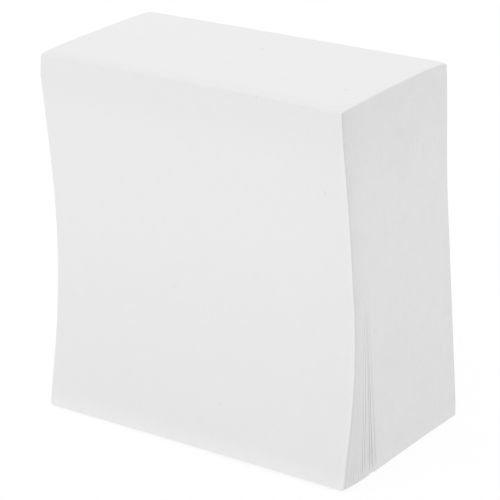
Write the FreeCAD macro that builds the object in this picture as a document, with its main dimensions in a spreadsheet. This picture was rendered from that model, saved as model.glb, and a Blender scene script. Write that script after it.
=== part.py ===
import FreeCAD, Part

# A memo cube: a square block of loose white note sheets, held together by a thin
# film of padding glue along one edge. It stands on the free ends of its sheets,
# glued edge up. Millimetres, +Z up, +X along the sheets' width, the front sheet
# faces -Y. The origin is on the surface it stands on, under the middle of the stack.

import math
import os

import Sketcher

DIMENSIONS = {
    # the block
    "sheet_width": 90.0,         # one note, from side to side
    "sheet_height": 90.0,        # one note, from its free end to its glued end
    "stack_thickness": 38.4,     # about 400 sheets, pressed together at mid-height
    "front_swell": 0.5,          # the glue makes the stack thicker along the glued edge:
    "rear_swell": 1.3,           # this much at the front and this much at the rear
    "swell_length": 26.0,        # how far down from the glued edge the swelling reaches
    "edge_radius": 0.8,          # the first and last sheets' glued ends roll over
    # the loose group at the front, whose free ends flare forwards
    "fan_depth": 5.65,           # thickness of the group
    "end_rise": 0.45,            # a bent sheet reaches this much less far down
    "straight_run": 12.5,        # its free end is straight below the bend
    "right_bend_depth": 45.0,    # where the bend starts, down from the glued end
    "right_bend_radius": 119.0,
    "left_bend_depth": 32.0,     # the left side starts to bend higher up and slower
    "left_bend_radius": 167.0,
    "left_bow": 0.95,            # and stands this much further forward at mid-height
    # the film of glue
    "film_thickness": 0.2,
    "film_crown": 0.2,           # the film is thicker by this in the middle
}

# The widest gaps between the loose sheets. Each is a wedge, open at the free ends.
# Its foot and its tip are this far behind the stack's front at mid-height.
GAPS = {
    "gap_one": {"foot": -0.25, "tip": 0.95, "rise": 13.0, "width": 0.15},
    "gap_two": {"foot": 0.6, "tip": 3.6, "rise": 39.0, "width": 0.25},
    "gap_three": {"foot": 2.45, "tip": 4.45, "rise": 37.0, "width": 0.45},
    "gap_four": {"foot": 3.75, "tip": 4.4, "rise": 21.0, "width": 0.5},
    "gap_five": {"foot": 5.0, "tip": 5.25, "rise": 23.0, "width": 0.25},
}

# Places that the outlines share, as expressions of the spreadsheet "dims".
FRONT = "-dims.stack_thickness / 2"
REAR = "dims.stack_thickness / 2"
SWELL_FOOT = "dims.sheet_height - dims.swell_length"
SHOULDER = "dims.sheet_height - dims.edge_radius"
FRONT_ROLL = "dims.edge_radius - dims.stack_thickness / 2 - dims.front_swell"
REAR_ROLL = "dims.stack_thickness / 2 + dims.rear_swell - dims.edge_radius"
FILM_RADIUS = "dims.edge_radius + dims.film_thickness"

START, END, CENTRE = 1, 2, 3     # the sketcher's numbers for a curve's points
QUARTER_TURN = math.pi / 2


def make_dimension_sheet(doc):
    """Put every driving dimension in a spreadsheet cell with an alias."""
    sheet = doc.addObject("Spreadsheet::Sheet", "dims")
    cells = dict(DIMENSIONS)
    for gap, sizes in GAPS.items():
        for size, value in sizes.items():
            cells[f"{gap}_{size}"] = value
    for row, (alias, value) in enumerate(cells.items(), start=1):
        sheet.set(f"A{row}", alias)
        sheet.set(f"B{row}", str(value))
        sheet.setAlias(f"B{row}", alias)
    doc.recompute()


def origin_plane(body, role):
    """Return one of the body's own origin planes."""
    for feature in body.Origin.OriginFeatures:
        if feature.Role == role:
            return feature
    raise ValueError(f"{body.Label} has no {role}")


def side_sketch(body, name, offset="0"):
    """Start a sketch seen from the side: across is +Y, up is +Z, the offset is along X."""
    sketch = body.newObject("Sketcher::SketchObject", name)
    sketch.AttachmentSupport = [(origin_plane(body, "YZ_Plane"), "")]
    sketch.MapMode = "FlatFace"
    sketch.setExpression(".AttachmentOffset.Base.z", offset)
    return sketch


def number(sketch, expression):
    """Work out an expression of the spreadsheet."""
    return float(sketch.evalExpression(expression))


def bind(sketch, kind, where, expression):
    """Add a dimension to a sketch and bind it to the spreadsheet."""
    value = number(sketch, expression)
    index = sketch.addConstraint(Sketcher.Constraint(kind, *where, value))
    sketch.setExpression(f"Constraints[{index}]", expression)


def pin(sketch, curve, point, across, up):
    """Fix a curve's point at a place given by two expressions."""
    bind(sketch, "DistanceX", (curve, point), across)
    bind(sketch, "DistanceY", (curve, point), up)


def add_line(sketch, start, end):
    """Draw a line between two places, each a pair of numbers."""
    return sketch.addGeometry(
        Part.LineSegment(FreeCAD.Vector(*start, 0), FreeCAD.Vector(*end, 0))
    )


def add_arc(sketch, centre, radius, first_angle, last_angle):
    """Draw an arc that runs anticlockwise between two angles in radians."""
    circle = Part.Circle(FreeCAD.Vector(*centre, 0), FreeCAD.Vector(0, 0, 1), radius)
    return sketch.addGeometry(Part.ArcOfCircle(circle, first_angle, last_angle))


def add_roll(sketch, across, radius, at_rear):
    """Draw the quarter arc round a rolled edge, whose centre is level with the shoulder."""
    turn = 0 if at_rear else QUARTER_TURN
    side_end, top_end = (START, END) if at_rear else (END, START)
    centre = (number(sketch, across), number(sketch, SHOULDER))
    arc = add_arc(sketch, centre, number(sketch, radius), turn, turn + QUARTER_TURN)
    pin(sketch, arc, CENTRE, across, SHOULDER)
    bind(sketch, "Radius", (arc,), radius)
    bind(sketch, "DistanceY", (arc, side_end), SHOULDER)
    bind(sketch, "DistanceX", (arc, top_end), across)
    return arc


def close_ring(sketch, ring, smooth=()):
    """Join curves into a closed outline, each given with the point it is left by.

    Two curves that follow each other meet tangentially if their pair is in smooth.
    """
    for k, (curve, way_out) in enumerate(ring):
        following, next_way_out = ring[(k + 1) % len(ring)]
        way_in = START if next_way_out == END else END
        kind = "Tangent" if (curve, following) in smooth else "Coincident"
        sketch.addConstraint(Sketcher.Constraint(kind, curve, way_out, following, way_in))


def side_outline(body, name, side, bow, bend_depth, bend_radius):
    """Outline of the stack at one side of the sheets, with its flared front group."""
    sketch = side_sketch(body, name, side)
    face_place = f"{FRONT} - {bow}"
    bend_top = f"dims.sheet_height - {bend_depth}"
    fan_root = f"{FRONT} + dims.fan_depth"

    radius = number(sketch, bend_radius)
    front = number(sketch, face_place)
    start_height = number(sketch, bend_top)
    end_height = number(sketch, "dims.straight_run")
    turn = math.asin((start_height - end_height) / radius)
    bend_end = (front - radius * (1 - math.cos(turn)), end_height)
    toe_height = number(sketch, "dims.end_rise")
    toe = (bend_end[0] - (end_height - toe_height) * math.tan(turn), toe_height)
    root = (number(sketch, fan_root), 0)
    rear = number(sketch, REAR)
    swell_foot = number(sketch, SWELL_FOOT)
    shoulder = number(sketch, SHOULDER)
    top = number(sketch, "dims.sheet_height")
    front_roll_place = number(sketch, FRONT_ROLL)
    rear_roll_place = number(sketch, REAR_ROLL)

    sole = add_line(sketch, root, (rear, 0))
    back = add_line(sketch, (rear, 0), (rear, swell_foot))
    back_swell = add_line(sketch, (rear, swell_foot), (rear, shoulder))
    rear_roll = add_roll(sketch, REAR_ROLL, "dims.edge_radius", at_rear=True)
    glued_end = add_line(sketch, (rear_roll_place, top), (front_roll_place, top))
    front_roll = add_roll(sketch, FRONT_ROLL, "dims.edge_radius", at_rear=False)
    face_swell = add_line(sketch, (front, shoulder), (front, swell_foot))
    face = add_line(sketch, (front, swell_foot), (front, start_height))
    bend = add_arc(sketch, (front - radius, start_height), radius, -turn, 0)
    free_end = add_line(sketch, bend_end, toe)
    fan_end = add_line(sketch, toe, root)
    close_ring(
        sketch,
        [
            (sole, END), (back, END), (back_swell, END), (rear_roll, END),
            (glued_end, END), (front_roll, END), (face_swell, END), (face, END),
            (bend, START), (free_end, END), (fan_end, END),
        ],
        smooth={(face, bend), (bend, free_end)},
    )
    pin(sketch, sole, START, fan_root, "0")
    pin(sketch, sole, END, REAR, "0")
    pin(sketch, back, END, REAR, SWELL_FOOT)
    pin(sketch, face, START, face_place, SWELL_FOOT)
    pin(sketch, face, END, face_place, bend_top)
    bind(sketch, "Radius", (bend,), bend_radius)
    bind(sketch, "DistanceY", (bend, START), "dims.straight_run")
    bind(sketch, "DistanceY", (free_end, END), "dims.end_rise")
    return sketch


def cut_gaps(body):
    """Cut the wedge-shaped gaps between the loose sheets, right across their width."""
    sketch = side_sketch(body, "gap_outlines")
    for gap in GAPS:
        foot = f"{FRONT} + dims.{gap}_foot"
        corners = [
            (f"{foot} - dims.{gap}_width / 2", "0"),
            (f"{foot} + dims.{gap}_width / 2", "0"),
            (f"{FRONT} + dims.{gap}_tip", f"dims.{gap}_rise"),
        ]
        places = [(number(sketch, across), number(sketch, up)) for across, up in corners]
        lines = [add_line(sketch, places[k - 1], places[k]) for k in range(3)]
        close_ring(sketch, [(line, END) for line in lines])
        for line, (across, up) in zip(lines, corners):
            pin(sketch, line, END, across, up)
    pocket = body.newObject("PartDesign::Pocket", "gaps")
    pocket.Profile = sketch
    pocket.Type = "ThroughAll"
    pocket.SideType = "Symmetric"
    return pocket


def make_sheet_block(doc):
    """All the sheets as one solid: a loft between the outlines of its two sides."""
    body = doc.addObject("PartDesign::Body", "sheet_block")
    body.Label = "sheet_block"
    right = side_outline(
        body, "right_side", "dims.sheet_width / 2", "0",
        "dims.right_bend_depth", "dims.right_bend_radius",
    )
    left = side_outline(
        body, "left_side", "-dims.sheet_width / 2", "dims.left_bow",
        "dims.left_bend_depth", "dims.left_bend_radius",
    )
    stack = body.newObject("PartDesign::AdditiveLoft", "stack")
    stack.Profile = right
    stack.Sections = [(left, [""])]
    stack.Ruled = True
    doc.recompute()
    uncut_volume = stack.Shape.Volume
    gaps = cut_gaps(body)
    doc.recompute()
    if not gaps.Shape.Volume < uncut_volume:
        raise RuntimeError("the gaps cut nothing from the stack")
    return body


def make_glue_binding(doc):
    """The film of glue over the sheets' ends, wrapped round both rolled edges."""
    body = doc.addObject("PartDesign::Body", "glue_binding")
    body.Label = "glue_binding"
    sketch = side_sketch(body, "film_outline")
    span = f"({REAR_ROLL} - ({FRONT_ROLL}))"
    crown_radius = f"({span} * {span} / 4 + dims.film_crown ^ 2) / (2 * dims.film_crown)"

    front = number(sketch, FRONT_ROLL)
    rear = number(sketch, REAR_ROLL)
    shoulder = number(sketch, SHOULDER)
    seat_height = number(sketch, "dims.sheet_height")
    inner = number(sketch, "dims.edge_radius")
    outer = number(sketch, FILM_RADIUS)
    crown_rise = number(sketch, "dims.film_crown")
    radius = number(sketch, crown_radius)
    crown_centre = ((front + rear) / 2, shoulder + outer + crown_rise - radius)
    turn = math.asin((rear - front) / 2 / radius)

    rear_lip = add_line(sketch, (rear + inner, shoulder), (rear + outer, shoulder))
    rear_outer = add_roll(sketch, REAR_ROLL, FILM_RADIUS, at_rear=True)
    crown = add_arc(sketch, crown_centre, radius, QUARTER_TURN - turn, QUARTER_TURN + turn)
    front_outer = add_roll(sketch, FRONT_ROLL, FILM_RADIUS, at_rear=False)
    front_lip = add_line(sketch, (front - outer, shoulder), (front - inner, shoulder))
    front_inner = add_roll(sketch, FRONT_ROLL, "dims.edge_radius", at_rear=False)
    seat = add_line(sketch, (front, seat_height), (rear, seat_height))
    rear_inner = add_roll(sketch, REAR_ROLL, "dims.edge_radius", at_rear=True)
    close_ring(
        sketch,
        [
            (rear_lip, END), (rear_outer, END), (crown, END), (front_outer, END),
            (front_lip, END), (front_inner, START), (seat, END), (rear_inner, START),
        ],
    )
    bind(sketch, "Radius", (crown,), crown_radius)

    film = body.newObject("PartDesign::Pad", "film")
    film.Profile = sketch
    film.SideType = "Symmetric"
    film.setExpression("Length", "dims.sheet_width")
    doc.recompute()
    return body


def check_document(doc, bodies):
    """Stop if anything in the document failed or a sub-part isn't one sound solid."""
    for thing in doc.Objects:
        if "Invalid" in thing.State or "Error" in thing.State:
            raise RuntimeError(f"{thing.Name} failed: {thing.State}")
    for body in bodies:
        shape = body.Shape
        if shape.isNull() or not shape.isValid() or len(shape.Solids) != 1:
            raise RuntimeError(f"{body.Label} isn't one valid solid")


def main():
    doc = FreeCAD.newDocument("memo_cube")
    make_dimension_sheet(doc)
    bodies = [make_sheet_block(doc), make_glue_binding(doc)]
    doc.recompute()
    check_document(doc, bodies)
    os.makedirs("parts", exist_ok=True)
    for body in bodies:
        body.Shape.exportStep(f"parts/{body.Label}.step")
        print(f"{body.Label}: {body.Shape.Volume:.1f} mm3, {body.Shape.BoundBox}")


main()
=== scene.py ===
import math
from dataclasses import dataclass

import bpy
import numpy as np
from mathutils import Matrix, Vector


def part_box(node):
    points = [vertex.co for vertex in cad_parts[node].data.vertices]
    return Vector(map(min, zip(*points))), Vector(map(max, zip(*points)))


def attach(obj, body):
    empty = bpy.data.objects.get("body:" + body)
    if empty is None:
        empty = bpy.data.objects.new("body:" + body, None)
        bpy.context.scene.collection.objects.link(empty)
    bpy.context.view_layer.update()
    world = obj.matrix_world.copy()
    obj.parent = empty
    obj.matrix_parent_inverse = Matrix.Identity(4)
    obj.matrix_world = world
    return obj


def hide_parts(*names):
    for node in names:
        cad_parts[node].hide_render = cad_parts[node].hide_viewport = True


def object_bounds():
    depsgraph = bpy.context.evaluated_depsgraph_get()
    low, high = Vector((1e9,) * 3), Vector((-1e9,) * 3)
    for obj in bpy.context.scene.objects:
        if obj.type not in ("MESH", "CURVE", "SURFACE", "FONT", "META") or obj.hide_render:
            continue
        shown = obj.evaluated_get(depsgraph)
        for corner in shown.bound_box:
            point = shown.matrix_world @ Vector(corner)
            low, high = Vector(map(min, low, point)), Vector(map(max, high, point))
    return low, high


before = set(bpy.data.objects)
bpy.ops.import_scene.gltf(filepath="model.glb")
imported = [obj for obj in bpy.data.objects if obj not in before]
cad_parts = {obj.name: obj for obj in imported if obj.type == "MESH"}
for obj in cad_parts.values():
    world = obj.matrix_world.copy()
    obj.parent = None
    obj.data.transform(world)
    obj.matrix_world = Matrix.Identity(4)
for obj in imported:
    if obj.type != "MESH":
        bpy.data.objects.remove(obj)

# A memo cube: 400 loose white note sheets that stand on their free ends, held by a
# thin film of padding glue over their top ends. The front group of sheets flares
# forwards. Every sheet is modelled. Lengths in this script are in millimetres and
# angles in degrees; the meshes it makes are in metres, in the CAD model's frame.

MM = 0.001
SEED = 400

cad_low, cad_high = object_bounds()
block_low, block_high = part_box("sheet_block")

# The stack
SHEET_COUNT = 400
SHEETS = np.arange(SHEET_COUNT)     # their numbers, from the front
LEFT_X = block_low.x / MM
RIGHT_X = block_high.x / MM
HEIGHT = block_high.z / MM          # a flat sheet, from its free end to its glued end
TOP_REAR = block_high.y / MM        # the glue thickens the stack along its glued edge,
REAR_SWELL = 1.55                   # to this much more at the rear than at mid-height
REAR = TOP_REAR - REAR_SWELL
FRONT = -19.12                      # at mid-height, where the stack is pressed together
PITCH = (REAR - FRONT) / SHEET_COUNT
PAPER = 0.98 * PITCH                # the rest of a sheet's pitch is air
FRONT_SWELL_LENGTH = 29.6           # at the front the swelling reaches this far down,
REAR_SWELL_LENGTH = 33.4            # and this far at the rear
TUCK_LENGTH = 5.5                   # how far down the glue draws the front sheets in
REAR_TUCK = 0.25                    # the rear sheets' free ends are drawn in by this much,
REAR_TUCK_LENGTH = 4.5              # up to this height

# The loose group of sheets at the front
LOOSE_COUNT = 59
STRAIGHT_RUN = 13.0                 # below this height the flared sheets are straight
FOOT_HEIGHT = 3.0                   # the places of the gaps are given at this height
RUFFLE = 0.78                       # ruffled edges fill this share of a narrow slot,
TIGHT_RUFFLE = 0.90                 # or this one in the tight part of the stack,
RUFFLE_SCATTER = 0.06               # each more or less by up to this much,
FOOT_RUFFLE = 0.95                  # and this share of any slot at the ragged free ends,
FOOT_RUFFLE_HEIGHT = 3.4            # fading out up to this height
FRONT_AIR = 0.15                    # more air behind the first sheets, as a share of the pitch,
FRONT_AIR_SHEETS = 24.0             # fading out over so many sheets
CLUMP_FOLLOWS = 0.45                # where sheets follow more than this share of the flare,
CLUMP = 3.9                         # so many of them cling together at their free ends,
CLUMP_HEIGHT = 6.5                  # up to this height,
CLUMP_PULL = 0.11                   # drawn this much towards each other,
CLUMP_RUFFLE = 0.42                 # with slots between the clumps filled at most this much
CORNER_SHEETS = 10.0                # over so many sheets the worn front corners fade out,
LEAST_CORNER = 0.001                # to this radius
ARCH = 0.13                         # the front sheets' free ends are arched up this much,
ARCH_SKEW = 1.3                     # most right of the middle if this is more than 1,
ARCH_SHEETS = 10.0                  # fading out over so many sheets

# The cut ends
CUT_SCATTER = 0.008                 # the sheets' cut ends lie within this of each other,
LOOSE_SCATTER = 0.05                # or this much more right behind the front sheet,
LOOSE_SCATTER_SHEETS = 10.0         # fading out over so many sheets
RECESS = 0.055                      # the sheets behind the front sheet lie this far in
RECESS_SHEETS = 3
SHORT_SHEETS = range(45, 51)        # these sheets end higher than the others,
SHORT_BY = 0.26                     # by this much
HOLLOW = 0.22                       # the tight sheets' free ends form a hollow this deep,
HOLLOW_SKEW = 1.2                   # deepest behind the middle if this is more than 1

# The film of glue
FILM = 0.15                         # from its top to the sheets' glued ends,
FILM_CLEARANCE = 0.01               # of which this much is a gap under it
LIP = 0.03                          # its lips stand out this far from the outer sheets,
LIP_EDGE = 0.002                    # thinning to this far at their lower edges,
LIP_LENGTH = 0.4                    # which lie this far below the roundings
REAR_ROLL = 0.9                     # radius of its rounded rear edge
END_ROLL, END_DROP = 0.5, 0.08      # its ends are rounded over this length, by this height
CORNER_DROOP = 0.2                  # its rear corners droop by this much,
CORNER_DROOP_LENGTH = 2.5           # over this length in from its ends
CORNER_DROOP_DEPTH = 5.0            # and this one from its rear edge
WAVES = ((31.0, 0.02), (14.0, 0.012), (6.5, 0.01))     # length and height along its width
CROWN_ACROSS = 0.02                 # how much higher its top is in the middle of its width
UNEVEN_DEPTH = 2.0                  # its unevenness starts this far below the sheets' height,
UNEVEN_FADE = 1.5                   # and reaches its full size this much higher
ROLL_POINTS = 9                     # the points of its section along each rounding,
TOP_POINTS = 42                     # over the top between the roundings,
LIP_POINTS = 6                      # and along each lip

# The meshes. A sheet's rows come in stretches, each with its first and last row, as shares
# of the sheet's height, and its number of rows. The columns are those near both cut ends,
# and even ones between them, counted with the innermost of those at each end.
UNDER_FILM = (0.92, 1.0, 9)
FINE_ROWS = ((0.0, 0.91, 92), UNDER_FILM)
BENT_ROWS = ((0.0, 0.90, 46), UNDER_FILM)
FLAT_ROWS = ((0.0, 0.06, 5), (0.2, 0.5, 3), (0.6, 0.90, 12), UNDER_FILM)
CORNER_COLUMNS = (0.0, 0.02, 0.1, 0.25, 0.5, 0.9)      # how far in from a cut end they lie
OUTER_SHEET_COLUMNS, FLARED_SHEET_COLUMNS, FILM_COLUMNS = 32, 4, 121
SHARP_ANGLE = 35.0                  # a mesh edge that turns by more than this looks sharp

# The paper and the glue. A scale is in ripples or specks to a metre, and a span is what
# most of a noise's values lie between.
CLOUD_SCALE, CLOUD_SPAN = 260.0, (0.25, 0.75)
FIBRE_SCALE, FIBRE_SPAN = 1500.0, (0.2, 0.8)
FIBRE_BUMP, FIBRE_HEIGHT = 0.35, 0.02                  # the bump's strength and height
SWAY_SCALE, SWAY_SPAN = 150.0, (0.3, 0.7)
SPECK_SCALE = 105.0
SPECK_CORE, SPECK_EDGE = 0.020, 0.045                  # radii, as shares of their spacing
MARK_CORE = 0.2                     # the share of a mark's radius where it is strongest
ROUGHNESS = (0.82, 0.95)            # between the fibres and on them
SPECULAR = 0.25

# The studio
FLOOR_HALF = 2000.0                 # half the floor's side
FLOOR_DROP = 0.02                   # how far it lies below the object
FLOOR_WHITE = 0.93
FLOOR_GLOW = 1.02                   # an even white, which the camera sees
GLOW_SHARE = 0.87                   # by this share in place of the floor and its shadow
WORLD_LEVEL = 0.93                  # how strongly the white world lights the object
KEY_PLACE = (-482.0, -611.0, 450.0)     # of the soft box, from the middle of the CAD box
KEY_SIZE = 500.0
KEY_POWER = 0.75                    # in watts

# The camera. The framing is where the middle of the CAD box lies, seen from it.
AZIMUTH, ELEVATION, ROLL = 40.41, 22.66, 4.26
FRAMING = {"right": -2.78, "down": -2.22, "ahead": 532.51}
LENS, SENSOR = 159.72, 36.0
NEAR_LIMIT = 10.0                   # the camera sees nothing nearer than this


@dataclass
class Gap:
    """A wide gap between two sheets of the loose group, at the right end of their width."""

    sheets_before: int
    place: float          # how far its middle is behind the stack's front, at the foot
    width: float          # at the foot
    upper_width: float    # and how much wider it stays further up than the flare makes it


GAPS = (
    Gap(31, -0.12, 0.16, 0.03),
    Gap(38, 0.68, 0.14, 0.075),
    Gap(46, 2.68, 0.22, 0.05),
    Gap(49, 3.74, 0.19, 0.045),
    Gap(56, 4.99, 0.10, 0.045),
)
UPPER_GAP_BOTTOM = 10.0             # from this height they have their whole upper width,
UPPER_GAP_TOP = 44.0                # which is gone at this height,
UPPER_GAP_FADE = 8.0                # and fades out over this much below it
CLOSING_SHEETS = 25.0               # the sheets in front of a gap that make room for it
REAR_GAPS = ((385, 0.04), (392, 0.05), (398, 0.04))   # sheets before slight gaps, and widths
REAR_GAP_RUFFLE = 0.65              # ruffled edges fill this share of them, more at the feet
REAR_GAP_TOP = 90.0                 # they narrow from the free ends to nothing at this height


@dataclass
class End:
    """The shape of the stack at one end of the sheets' width."""

    bow: float            # the front sheet stands this much forward at mid-height,
    top_forward: float    # this much near the glued edge,
    tuck: float           # and this much less at the glued edge itself
    bend_depth: float     # where the flare starts, down from the glued edge
    bend_radius: float
    rise: float           # the front sheet's free end is this high,
    corner: float         # and its corner is rounded by this radius
    film_front: float     # height of the film's top along its front and rear edges,
    film_rear: float      # without their roundings
    crown: float          # how much higher it is than the line between them,
    crown_place: float    # at this share of the way from the front to the rear
    roll_length: float    # the rounding of the film's front edge reaches this far back
    roll_drop: float      # and falls by this much


LEFT = End(
    bow=0.85, top_forward=1.20, tuck=0.77, bend_depth=30.6, bend_radius=180.2,
    rise=0.30, corner=0.9, film_front=90.0, film_rear=89.76, crown=0.40, crown_place=0.25,
    roll_length=2.5, roll_drop=0.45,
)
RIGHT = End(
    bow=0.0, top_forward=0.78, tuck=0.15, bend_depth=45.4, bend_radius=113.2,
    rise=0.61, corner=0.4, film_front=89.95, film_rear=89.58, crown=0.54, crown_place=0.62,
    roll_length=1.2, roll_drop=0.30,
)


def ease(t):
    """Rise smoothly from 0 to 1 as t does."""
    t = np.clip(t, 0.0, 1.0)
    return t * t * (3.0 - 2.0 * t)


def mix(first, second, share):
    """Go from the first value to the second by a share."""
    return first + (second - first) * share


def roll_drop(inset, length, drop):
    """How far a rounded edge has dropped at a distance in from its face."""
    bent = np.clip(1.0 - inset / length, 0.0, 1.0)
    return drop * (1.0 - np.sqrt(1.0 - bent**2))


def flare(height, end):
    """How far forward the flare carries the front sheet at a height."""
    start = HEIGHT - end.bend_depth
    bent = np.clip(start - np.maximum(height, STRAIGHT_RUN), 0.0, None)
    arc = end.bend_radius - np.sqrt(end.bend_radius**2 - bent**2)
    turn = math.asin((start - STRAIGHT_RUN) / end.bend_radius)
    return arc + np.clip(STRAIGHT_RUN - height, 0.0, None) * math.tan(turn)


def stack_place(share, height, end):
    """Y of a plane of the stack without its flare: share is 0 at the front, 1 at the rear."""
    at_front = ease((height - HEIGHT + FRONT_SWELL_LENGTH) / FRONT_SWELL_LENGTH)
    at_rear = ease((height - HEIGHT + REAR_SWELL_LENGTH) / REAR_SWELL_LENGTH)
    drawn_in = end.tuck * ease((height - HEIGHT + TUCK_LENGTH) / TUCK_LENGTH)
    rear_drawn_in = REAR_TUCK * ease(1.0 - height / REAR_TUCK_LENGTH) * share**3
    front = FRONT - mix(end.bow, end.top_forward, at_front) + drawn_in
    rear = REAR + REAR_SWELL * at_rear
    return mix(front, rear, share) - rear_drawn_in


def flare_shares():
    """The share of the front sheet's flare that each sheet follows, and one more, which is 0."""
    planes = np.arange(SHEET_COUNT + 1)
    reach = float(flare(FOOT_HEIGHT, RIGHT))
    number, foot = [0], [-reach]
    for gap in GAPS:
        number += [gap.sheets_before - 1, gap.sheets_before]
        foot += [gap.place - gap.width / 2 - PITCH, gap.place + gap.width / 2]
    number += [LOOSE_COUNT, SHEET_COUNT]
    foot += [LOOSE_COUNT * PITCH, SHEET_COUNT * PITCH]
    return (planes * PITCH - np.interp(planes, number, foot)) / reach


def film_faces(end):
    """Y of the film's front and rear faces."""
    front, rear = (stack_place(share, HEIGHT, end) for share in (0.0, 1.0))
    return front - LIP, rear + LIP


def film_height(y, end):
    """Height of the film's top over a place along Y."""
    front, rear = film_faces(end)
    depth = (y - front) / (rear - front)
    ahead, behind = end.crown_place, 1.0 - end.crown_place
    away = np.where(depth < ahead, (ahead - depth) / ahead, (depth - ahead) / behind)
    height = mix(end.film_front, end.film_rear, depth) + end.crown * (1.0 - away**2)
    height -= roll_drop(y - front, end.roll_length, end.roll_drop)
    return height - roll_drop(rear - y, REAR_ROLL, REAR_ROLL)


def corner_droop(y, share):
    """How far the film's rear corners have drooped at a place."""
    inset = (RIGHT_X - LEFT_X) * np.minimum(share, 1.0 - share)
    near_rear = ease(1.0 - (TOP_REAR - y) / CORNER_DROOP_DEPTH)
    return CORNER_DROOP * near_rear * ease(1.0 - inset / CORNER_DROOP_LENGTH)


def shell_faces(rows, columns):
    """Faces of a closed thin shell, made of an outer grid of points and then an inner one.

    Seen from outside, rows run up and columns to the right. Returns the faces and,
    for each, 0 on the two grids or 1 on the rim between them.
    """
    inner = rows * columns

    def at(row, column):
        return row * columns + column

    faces, on_rim = [], []
    for r in range(rows - 1):
        for c in range(columns - 1):
            quad = (at(r, c), at(r, c + 1), at(r + 1, c + 1), at(r + 1, c))
            faces.append(quad)
            faces.append(tuple(inner + point for point in reversed(quad)))
    on_rim += [0] * len(faces)
    bottom = [at(0, c) for c in range(columns)]
    right = [at(r, columns - 1) for r in range(rows)]
    top = [at(rows - 1, c) for c in reversed(range(columns))]
    left = [at(r, 0) for r in reversed(range(rows))]
    for side in (bottom, right, top, left):
        for a, b in zip(side, side[1:]):
            faces.append((b, a, inner + a, inner + b))
            on_rim.append(1)
    return faces, on_rim


def make_piece(name, points, faces, face_materials, materials):
    """Make a mesh object from points in millimetres."""
    mesh = bpy.data.meshes.new(name)
    mesh.from_pydata((np.asarray(points) * MM).tolist(), [], faces)
    for material in materials:
        mesh.materials.append(material)
    mesh.polygons.foreach_set("material_index", face_materials)
    mesh.shade_smooth()
    mesh.set_sharp_from_angle(angle=math.radians(SHARP_ANGLE))
    mesh.validate()
    piece = bpy.data.objects.new(name, mesh)
    bpy.context.scene.collection.objects.link(piece)
    return piece


def glued_height(plane, share):
    """Height just under the film where a sheet's front or rear face meets it."""
    left_y, right_y = (stack_place(plane / SHEET_COUNT, HEIGHT, end) for end in (LEFT, RIGHT))
    left = float(film_height(left_y, LEFT)) - FILM
    right = float(film_height(right_y, RIGHT)) - FILM
    return mix(left, right, share) - corner_droop(right_y, share)


def rows_up(stretches):
    """Places of the rows up a sheet, as shares of its height."""
    return np.concatenate([np.linspace(*stretch) for stretch in stretches])


def columns_across(count):
    """Places across the sheets, as shares of their width, closer together at the corners."""
    corner = np.array(CORNER_COLUMNS) / (RIGHT_X - LEFT_X)
    middle = np.linspace(corner[-1], 1.0 - corner[-1], count)[1:-1]
    return np.concatenate([corner, middle, 1.0 - corner[::-1]])


def cut_insets(random):
    """How far in the left and right cut ends of each sheet lie."""
    scatter = CUT_SCATTER + LOOSE_SCATTER * np.exp(-SHEETS / LOOSE_SCATTER_SHEETS)
    scatter[0] = CUT_SCATTER
    insets = random.uniform(0.0, 1.0, (SHEET_COUNT, 2)) * scatter[:, None]
    insets[1:1 + RECESS_SHEETS] += RECESS
    return insets


def foot_lifts(random):
    """How much higher each sheet's free end is than the flare makes it."""
    lifts = random.uniform(0.0, CUT_SCATTER, SHEET_COUNT)
    lifts[SHORT_SHEETS] += SHORT_BY
    along = np.linspace(0.0, 1.0, SHEET_COUNT - LOOSE_COUNT) ** HOLLOW_SKEW
    lifts[LOOSE_COUNT:] += 4.0 * HOLLOW * along * (1.0 - along)
    return lifts


def slot_ruffles(random):
    """The share of the slot behind each sheet that is filled, which is 0 in the wide gaps."""
    ruffles = np.where(SHEETS < LOOSE_COUNT, RUFFLE, TIGHT_RUFFLE)
    ruffles += random.uniform(-RUFFLE_SCATTER, RUFFLE_SCATTER, SHEET_COUNT)
    for gap in GAPS:
        ruffles[gap.sheets_before - 1] = 0.0
    return ruffles


def gap_room():
    """How far forward each sheet stands to make room for the wide gaps behind it."""
    room = np.zeros(SHEET_COUNT + 1)
    for gap in GAPS:
        last = gap.sheets_before - 1
        near = np.clip(1.0 - (last - SHEETS[:last + 1]) / CLOSING_SHEETS, 0.0, 1.0)
        room[:last + 1] += gap.upper_width * near
    return room


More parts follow.
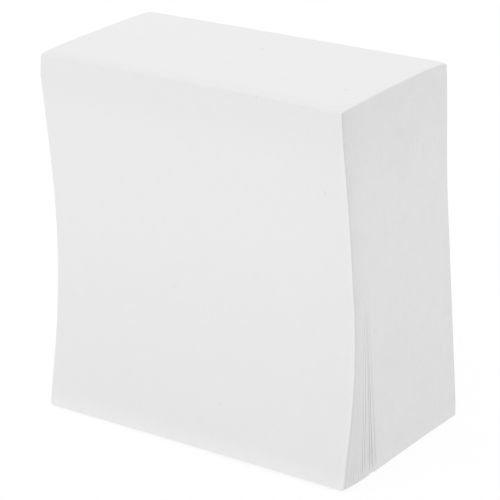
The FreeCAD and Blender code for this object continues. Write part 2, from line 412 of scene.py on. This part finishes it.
class Stack:
    """The places of all the sheets, with the small irregularities of a real block.

    What moves a sheet's front face has one value more, for the last sheet's rear face.
    """

    def __init__(self):
        random = np.random.default_rng(SEED)
        self.follows = flare_shares()
        self.insets = cut_insets(random)
        self.lifts = foot_lifts(random)
        self.ruffles = slot_ruffles(random)
        self.air = FRONT_AIR * PITCH * np.exp(-SHEETS / FRONT_AIR_SHEETS)
        self.makes_room = gap_room()
        self.cling()
        self.loosen()

    def cling(self):
        """Draw sheets together in clumps at their free ends, with clearer slots between them."""
        turn = (np.arange(SHEET_COUNT + 1) / CLUMP) % 1.0 - 0.5
        clumped = self.follows > CLUMP_FOLLOWS
        self.pulls = np.where(clumped, -2.0 * CLUMP_PULL * turn, 0.0)
        self.pulls[0] = 0.0
        ends_clump = (turn[1:] < turn[:-1]) & clumped[:-1]
        self.clump_ruffles = np.where(
            ends_clump, np.minimum(self.ruffles, CLUMP_RUFFLE), self.ruffles
        )

    def loosen(self):
        """Open the slight gaps near the rear. Their feet stay as filled as the rest."""
        self.loosened = np.zeros(SHEET_COUNT + 1)
        for sheets_before, width in REAR_GAPS:
            self.ruffles[sheets_before - 1] = REAR_GAP_RUFFLE
            self.loosened[sheets_before:] += width

    def end_place(self, plane, height, end):
        """Y of a sheet's front face at one end of its width."""
        clinging = self.pulls[plane] * ease(1.0 - height / CLUMP_HEIGHT)
        upper = ease(height / UPPER_GAP_BOTTOM)
        upper = upper * ease((UPPER_GAP_TOP - height) / UPPER_GAP_FADE)
        return (
            stack_place(plane / SHEET_COUNT, height, end)
            - self.follows[plane] * flare(height, end)
            - self.makes_room[plane] * upper
            + self.loosened[plane] * ease((REAR_GAP_TOP - height) / REAR_GAP_TOP)
            + clinging
        )

    def face_place(self, plane, height, share):
        """Y of a sheet's front face."""
        return mix(self.end_place(plane, height, LEFT), self.end_place(plane, height, RIGHT), share)

    def end_foot(self, sheet, end):
        """Height of a sheet's free end, at one end of its width.

        Half the flare takes a quarter of the rise, as it does where a strip bends.
        """
        return end.rise * self.follows[sheet] ** 2 + self.lifts[sheet]

    def worn_corners(self, sheet, share):
        """How much the rounded corners lift a sheet's free end along its width."""
        fading = math.exp(-sheet / CORNER_SHEETS)
        inset = share * (RIGHT_X - LEFT_X)
        other_inset = (RIGHT_X - LEFT_X) - inset
        left, right = (max(end.corner * fading, LEAST_CORNER) for end in (LEFT, RIGHT))
        return roll_drop(inset, left, left) + roll_drop(other_inset, right, right)

    def arch(self, sheet, share):
        """How far a sheet's free end is arched up along its width."""
        return ARCH * math.exp(-sheet / ARCH_SHEETS) * np.sin(math.pi * share**ARCH_SKEW)

    def foot(self, sheet, share):
        """Height of a sheet's free end along its width."""
        foot = mix(self.end_foot(sheet, LEFT), self.end_foot(sheet, RIGHT), share)
        return foot + self.worn_corners(sheet, share) + self.arch(sheet, share)

    def filled(self, sheet, height):
        """The share of the slot behind a sheet that is filled at a height."""
        at_clumps = ease(1.0 - height / CLUMP_HEIGHT)
        at_foot = ease(1.0 - height / FOOT_RUFFLE_HEIGHT)
        filled = mix(self.ruffles[sheet], self.clump_ruffles[sheet], at_clumps)
        return mix(filled, FOOT_RUFFLE, at_foot)

    def sheet_points(self, sheet, levels, share):
        """Points of a sheet: its front face and then its rear face, rows first.

        Its glued end slants, to lie close under the film at both faces.
        """
        foot = self.foot(sheet, share)
        front_top, rear_top = (glued_height(plane, share) for plane in (sheet, sheet + 1))
        top = np.minimum(front_top, rear_top)
        height = foot + (top - foot) * levels[:, None]
        front, next_front = (self.face_place(plane, height, share) for plane in (sheet, sheet + 1))
        slot = np.clip(next_front - front - PAPER, 0.0, None)
        rear = front + PAPER - self.air[sheet] + self.filled(sheet, height) * slot
        left_inset, right_inset = self.insets[sheet]
        x = np.broadcast_to(mix(LEFT_X + left_inset, RIGHT_X - right_inset, share), height.shape)
        glued_end = levels[:, None] == 1.0
        return np.vstack([
            np.stack([x, y, np.where(glued_end, end_height, height)], axis=-1).reshape(-1, 3)
            for y, end_height in ((front, front_top), (rear, rear_top))
        ])

    def make_sheets(self, name, sheets, levels, share, materials):
        """Make one piece of several sheets."""
        sheet_faces, on_rim = shell_faces(len(levels), len(share))
        sheet_faces = np.array(sheet_faces)
        size = 2 * len(levels) * len(share)
        points = [self.sheet_points(sheet, levels, share) for sheet in sheets]
        faces = [sheet_faces + size * n for n in range(len(points))]
        return make_piece(
            name,
            np.vstack(points),
            np.vstack(faces).tolist(),
            on_rim * len(points),
            materials,
        )


def film_section(end):
    """The film's outer and inner side at one end, from its front lip over to its rear lip."""
    front, rear = film_faces(end)
    turn = np.linspace(0.0, math.pi / 2.0, ROLL_POINTS)
    front_roll = front + end.roll_length * (1.0 - np.cos(turn))
    rear_roll = rear - REAR_ROLL * (1.0 - np.cos(turn))
    middle = np.linspace(front_roll[-1], rear_roll[-1], TOP_POINTS)[1:-1]
    over = np.concatenate([front_roll, middle, rear_roll[::-1]])
    over_height = film_height(over, end)

    up = np.linspace(0.0, 1.0, LIP_POINTS)[:-1]     # from the lips' lower edges to the roundings
    height = np.concatenate([
        over_height[0] - LIP_LENGTH * (1.0 - up),
        over_height,
        over_height[-1] - LIP_LENGTH * (1.0 - up[::-1]),
    ])
    thinning = np.concatenate([up, np.ones(len(over)), up[::-1]])
    lip = mix(LIP_EDGE, LIP, up)
    outer_y = np.concatenate([
        stack_place(0.0, height[:len(up)], end) - lip,
        over,
        stack_place(1.0, height[-len(up):], end) + lip[::-1],
    ])
    inner_y = np.clip(                              # just off the outer sheets
        outer_y,
        stack_place(0.0, np.minimum(height, HEIGHT), end) - LIP_EDGE / 2.0,
        stack_place(1.0, np.minimum(height, HEIGHT), end) + LIP_EDGE / 2.0,
    )
    inner_height = height - (FILM - FILM_CLEARANCE) * thinning
    return np.column_stack([outer_y, height]), np.column_stack([inner_y, inner_height])


def make_film(material):
    """Make the film of glue, a closed shell with a slightly uneven top."""
    random = np.random.default_rng(SEED + 1)
    share = columns_across(FILM_COLUMNS)
    x = mix(LEFT_X, RIGHT_X, share)
    wave = np.zeros(len(x))
    for length, size in WAVES:
        wave += size * np.sin(2.0 * math.pi * (x / length + random.random()))
    crown = CROWN_ACROSS * (1.0 - (x / RIGHT_X) ** 2)
    change = crown + wave - roll_drop(RIGHT_X - np.abs(x), END_ROLL, END_DROP)
    grids = []
    for left, right in zip(film_section(LEFT), film_section(RIGHT)):
        y, height = (mix(left[:, axis, None], right[:, axis, None], share) for axis in (0, 1))
        uneven = ease((height - HEIGHT + UNEVEN_DEPTH) / UNEVEN_FADE)
        height = height - corner_droop(y, share) + change * uneven
        across = np.broadcast_to(x, y.shape)
        grids.append(np.stack([across, y, height], axis=-1).reshape(-1, 3))
    faces, on_rim = shell_faces(len(film_section(LEFT)[0]), len(x))
    return make_piece("glue_film", np.vstack(grids), faces, [0] * len(on_rim), [material])


class Nodes:
    """A node tree with short calls to add nodes and link them."""

    def __init__(self, tree):
        self.tree = tree
        tree.nodes.clear()

    def add(self, kind, settings=None, **inputs):
        """Add a node. An input is a value or another node's output."""
        node = self.tree.nodes.new(kind)
        for name, value in (settings or {}).items():
            setattr(node, name, value)
        for name, value in inputs.items():
            self.fill(node.inputs[name.replace("_", " ")], value)
        return node

    def fill(self, socket, value):
        """Give a socket a value or another node's output."""
        if isinstance(value, bpy.types.NodeSocket):
            self.tree.links.new(value, socket)
        else:
            socket.default_value = value

    def math(self, operation, first, second):
        """Add a sum, product or other operation on two numbers, and return its output."""
        node = self.add("ShaderNodeMath", {"operation": operation})
        self.fill(node.inputs[0], first)
        self.fill(node.inputs[1], second)
        return node.outputs[0]

    def product(self, value, *factors):
        """Multiply a value by each of the factors, and return the output."""
        for factor in factors:
            value = self.math("MULTIPLY", value, factor)
        return value

    def distance(self, place, centre):
        """Add the distance of a place from a fixed centre, and return its output."""
        node = self.add("ShaderNodeVectorMath", {"operation": "DISTANCE"})
        self.fill(node.inputs[0], place)
        self.fill(node.inputs[1], centre)
        return node.outputs["Value"]

    def remap(self, value, low, high, to_low, to_high, smooth=False):
        """Map a value from one range to another, and return the output."""
        node = self.add(
            "ShaderNodeMapRange",
            {"interpolation_type": "SMOOTHSTEP" if smooth else "LINEAR"},
            Value=value,
            From_Min=low,
            From_Max=high,
            To_Min=to_low,
            To_Max=to_high,
        )
        return node.outputs[0]

    def noise(self, place, scale, detail, roughness):
        """Add noise, with its scale in ripples to a metre, and return its value."""
        node = self.add(
            "ShaderNodeTexNoise", Vector=place, Scale=scale, Detail=detail, Roughness=roughness
        )
        return node.outputs[0]


@dataclass
class Tint:
    """A smooth change of tone along an axis, from one place to another."""

    axis: str
    start: float
    finish: float
    at_start: float       # what the tone is multiplied by up to the start,
    at_finish: float      # and what from the finish on
    slant: float = 0.0    # how far the places shift for each millimetre along X


@dataclass
class Mark:
    """A faint round spot: where its middle is, its radius, and how strong it is."""

    x: float
    y: float
    z: float
    radius: float
    depth: float          # how much darker its middle is, or paler if this is negative


def grain(nodes, place, fibres, tone, cloud, fibre, speck):
    """The paper's tone, with its cloudy formation, its fibres and a few tiny dark specks."""
    clouds = nodes.noise(place, CLOUD_SCALE, detail=3.0, roughness=0.6)
    specks = nodes.add("ShaderNodeTexVoronoi", Vector=place, Scale=SPECK_SCALE)
    return nodes.product(
        nodes.remap(clouds, *CLOUD_SPAN, tone - cloud, tone + cloud),
        nodes.remap(fibres, *FIBRE_SPAN, 1.0 - fibre, 1.0 + fibre),
        nodes.remap(specks.outputs["Distance"], SPECK_CORE, SPECK_EDGE, 1.0 - speck, 1.0),
    )


def tint_shades(nodes, place, tints, wander):
    """What each tint multiplies the tone by. The tints' places wander by a distance."""
    noise = nodes.noise(place, SWAY_SCALE, detail=2.0, roughness=0.5)
    sway = nodes.remap(noise, *SWAY_SPAN, -wander * MM, wander * MM)
    along = nodes.add("ShaderNodeSeparateXYZ", Vector=place).outputs
    shades = []
    for tint in tints:
        shift = nodes.math("MULTIPLY", along["X"], -tint.slant)
        position = nodes.math("ADD", nodes.math("ADD", along[tint.axis], shift), sway)
        start, finish = tint.start * MM, tint.finish * MM
        shades.append(
            nodes.remap(position, start, finish, tint.at_start, tint.at_finish, smooth=True)
        )
    return shades


def mark_shades(nodes, place, marks):
    """What each mark multiplies the tone by."""
    shades = []
    for mark in marks:
        away = nodes.distance(place, MM * Vector((mark.x, mark.y, mark.z)))
        core, edge = MARK_CORE * mark.radius * MM, mark.radius * MM
        shades.append(nodes.remap(away, core, edge, 1.0 - mark.depth, 1.0, smooth=True))
    return shades


def paper_material(name, tone, cloud, fibre, speck, tints, marks, wander=0.0):
    """Matt white uncoated paper, or the glue that has dried on it.

    The clouds change the tone up and down by an amount, the fibres by a share of it, and
    the specks darken it by a share.
    """
    material = bpy.data.materials.new(name)
    material.use_nodes = True
    nodes = Nodes(material.node_tree)
    place = nodes.add("ShaderNodeTexCoord").outputs["Object"]
    fibres = nodes.noise(place, FIBRE_SCALE, detail=2.0, roughness=0.7)
    value = nodes.product(
        grain(nodes, place, fibres, tone, cloud, fibre, speck),
        *tint_shades(nodes, place, tints, wander),
        *mark_shades(nodes, place, marks),
    )
    colour = nodes.add("ShaderNodeCombineColor", Red=value, Green=value, Blue=value)
    bump = nodes.add(
        "ShaderNodeBump", Strength=FIBRE_BUMP, Distance=FIBRE_HEIGHT * MM, Height=fibres
    )
    shader = nodes.add(
        "ShaderNodeBsdfPrincipled",
        Base_Color=colour.outputs[0],
        Roughness=nodes.remap(fibres, *FIBRE_SPAN, *ROUGHNESS),
        Specular_IOR_Level=SPECULAR,
        Normal=bump.outputs[0],
    )
    nodes.add("ShaderNodeOutputMaterial", Surface=shader.outputs[0])
    return material


def make_sheet_face():
    """Make the material of the sheets' faces."""
    return paper_material(
        "sheet_face", tone=0.842, cloud=0.004, fibre=0.012, speck=0.05, wander=0.3,
        tints=[
            Tint("Z", HEIGHT, 73.5, 0.970, 1.0),          # soaked by the glue
            Tint("Z", 6.0, 58.0, 0.960, 1.0),             # painted shade, darker towards the free end,
            Tint("Z", 0.0, 6.0, 1.046, 1.0),              # then painted light from the floor, paler again at the free end, / and palest right at its edge, also painted light
            Tint("Z", 0.2, 2.6, 1.016, 1.0),              # and palest right at its edge
            Tint("X", LEFT_X, RIGHT_X, 0.997, 1.003),     # a little paler to the right,
            Tint("X", 22.0, 42.0, 1.0, 0.995),            # less so near the cut edge,
            Tint("X", 43.4, 44.6, 1.0, 1.014),            # and palest right at it
        ],
        marks=[
            Mark(38.9, -19.3, 70.0, 0.75, 0.060),         # three small ones
            Mark(-39.5, -22.4, 29.2, 0.70, 0.045),
            Mark(-9.4, -19.6, 54.3, 0.60, 0.045),
            Mark(44.0, -27.2, 2.0, 7.0, 0.014),           # a soft patch at the lower corner
        ],
    )


def make_cut_edge():
    """Make the material of the sheets' cut edges."""
    return paper_material(
        "cut_edge", tone=0.8145, cloud=0.008, fibre=0.02, speck=0.05,
        tints=[
            Tint("Z", HEIGHT, 66.0, 0.967, 1.0),          # soaked by the glue
            Tint("Z", 0.0, 4.5, 1.045, 1.0),              # painted light from the floor, paler at the free ends, / and slightly so above them
            Tint("Z", 3.0, 15.0, 1.009, 1.0),             # and slightly so above them
            Tint("Y", -14.0, 14.0, 0.9975, 1.003),        # a little paler to the rear
        ],
        marks=[
            Mark(RIGHT_X, 7.9, 74.7, 0.75, 0.050),        # a small one
            Mark(RIGHT_X, 0.5, 74.5, 10.0, 0.013),        # soft patches, the last one paler
            Mark(RIGHT_X, -4.5, 26.0, 11.0, 0.010),
            Mark(RIGHT_X, 20.5, 1.0, 7.0, 0.032),
            Mark(RIGHT_X, 18.0, 89.0, 5.0, -0.018),
        ],
    )


def make_dried_glue():
    """Make the material of the film of glue."""
    return paper_material(
        "dried_glue", tone=0.880, cloud=0.006, fibre=0.012, speck=0.09, wander=0.3,
        tints=[
            Tint("Y", -19.50, -18.80, 0.974, 1.0),        # painted shade on its rounded front edge, a darker strip, / wider to the left, / fading out behind
            Tint("Y", -19.05, -18.45, 0.980, 1.0, slant=-0.024),      # wider to the left,
            Tint("Y", -18.5, -15.0, 0.985, 1.0),          # fading out behind
            Tint("Y", -20.0, 16.0, 0.988, 1.002),         # a little paler to the rear
        ],
        marks=[
            Mark(1.8, 7.1, 90.3, 0.80, 0.090),            # two small ones
            Mark(37.1, -7.6, 90.2, 0.65, 0.085),
        ],
    )


def camera_share(nodes):
    """1 for rays that show the background in the picture, in gloss or through glass, or 0."""
    path = nodes.add("ShaderNodeLightPath")
    kinds = ("Is Camera Ray", "Is Glossy Ray", "Is Transmission Ray")
    camera, glossy, through = (path.outputs[kind] for kind in kinds)
    return nodes.math("MAXIMUM", nodes.math("MAXIMUM", camera, glossy), through)


def make_floor_white():
    """Make the floor's material: white that keeps shadows, with an even glow over it."""
    material = bpy.data.materials.new("floor_white")
    material.use_nodes = True
    nodes = Nodes(material.node_tree)
    diffuse = nodes.add("ShaderNodeBsdfDiffuse", Color=(FLOOR_WHITE, FLOOR_WHITE, FLOOR_WHITE, 1.0))
    glow = nodes.add("ShaderNodeEmission", Strength=FLOOR_GLOW)
    share = nodes.math("MULTIPLY", camera_share(nodes), GLOW_SHARE)
    both = nodes.add("ShaderNodeMixShader", Fac=share)
    nodes.fill(both.inputs[1], diffuse.outputs[0])
    nodes.fill(both.inputs[2], glow.outputs[0])
    nodes.add("ShaderNodeOutputMaterial", Surface=both.outputs[0])
    return material


def make_floor():
    """Make a plain white floor that keeps the object's shadow."""
    half = FLOOR_HALF * MM
    mesh = bpy.data.meshes.new("floor")
    corners = [(-half, -half, 0.0), (half, -half, 0.0), (half, half, 0.0), (-half, half, 0.0)]
    mesh.from_pydata(corners, [], [(0, 1, 2, 3)])
    mesh.materials.append(make_floor_white())
    floor = bpy.data.objects.new("floor", mesh)
    floor.location.z = -FLOOR_DROP * MM
    bpy.context.scene.collection.objects.link(floor)


def make_world():
    """Make an even white world, which the camera sees as plain white."""
    world = bpy.data.worlds.new("studio")
    world.use_nodes = True
    nodes = Nodes(world.node_tree)
    level = nodes.remap(camera_share(nodes), 0.0, 1.0, WORLD_LEVEL, 1.0)
    background = nodes.add("ShaderNodeBackground", Color=(1.0, 1.0, 1.0, 1.0), Strength=level)
    nodes.add("ShaderNodeOutputWorld", Surface=background.outputs[0])
    bpy.context.scene.world = world


def make_key_light(target):
    """Make a large soft box that lights the front and the top."""
    place = target + MM * Vector(KEY_PLACE)
    light = bpy.data.lights.new("soft_box", "AREA")
    light.shape = "SQUARE"
    light.size = KEY_SIZE * MM
    light.energy = KEY_POWER
    lamp = bpy.data.objects.new("soft_box", light)
    lamp.location = place
    lamp.rotation_euler = (target - place).to_track_quat("-Z", "Y").to_euler()
    bpy.context.scene.collection.objects.link(lamp)


def make_camera(centre):
    """Make the camera, placed so that the object's middle is where the framing says."""
    azimuth, elevation, roll = (math.radians(a) for a in (AZIMUTH, ELEVATION, ROLL))
    back = Vector((
        math.sin(azimuth) * math.cos(elevation),
        -math.cos(azimuth) * math.cos(elevation),
        math.sin(elevation),
    ))
    level_right = Vector((math.cos(azimuth), math.sin(azimuth), 0.0))
    level_down = level_right.cross(back)
    right = math.cos(roll) * level_right + math.sin(roll) * level_down
    down = math.cos(roll) * level_down - math.sin(roll) * level_right
    place = centre - MM * (
        FRAMING["right"] * right + FRAMING["down"] * down - FRAMING["ahead"] * back
    )
    data = bpy.data.cameras.new("camera")
    data.lens = LENS
    data.sensor_width = SENSOR
    data.clip_start = NEAR_LIMIT * MM
    camera = bpy.data.objects.new("camera", data)
    turn = Matrix((right, -down, back)).transposed().to_4x4()
    camera.matrix_world = Matrix.Translation(place) @ turn
    bpy.context.scene.collection.objects.link(camera)
    bpy.context.scene.camera = camera


def make_block():
    """Make all the sheets and the film, hide the CAD parts they replace, and attach them to the
    root body.
    """
    paper = [make_sheet_face(), make_cut_edge()]
    stack = Stack()
    fine, bent, flat = (rows_up(rows) for rows in (FINE_ROWS, BENT_ROWS, FLAT_ROWS))
    many, few = (columns_across(n) for n in (OUTER_SHEET_COLUMNS, FLARED_SHEET_COLUMNS))
    two = np.array([0.0, 1.0])
    last = SHEET_COUNT - 1
    sheets = [
        stack.make_sheets("front_sheet", [0], fine, many, paper),
        stack.make_sheets("flared_sheets", range(1, LOOSE_COUNT), bent, few, paper),
        stack.make_sheets("stacked_sheets", range(LOOSE_COUNT, last), flat, two, paper),
        stack.make_sheets("rear_sheet", [last], fine, many, paper),
    ]
    for piece in sheets:
        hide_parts("sheet_block")
        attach(piece, "root")
    film = make_film(make_dried_glue())
    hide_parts("glue_binding")
    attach(film, "root")


def make_studio():
    """Make the camera, the floor and the lights."""
    box_centre = (cad_low + cad_high) / 2.0
    make_camera(box_centre)
    make_floor()
    make_world()
    make_key_light(box_centre)
    bpy.context.scene.view_settings.view_transform = "Standard"


make_block()
make_studio()
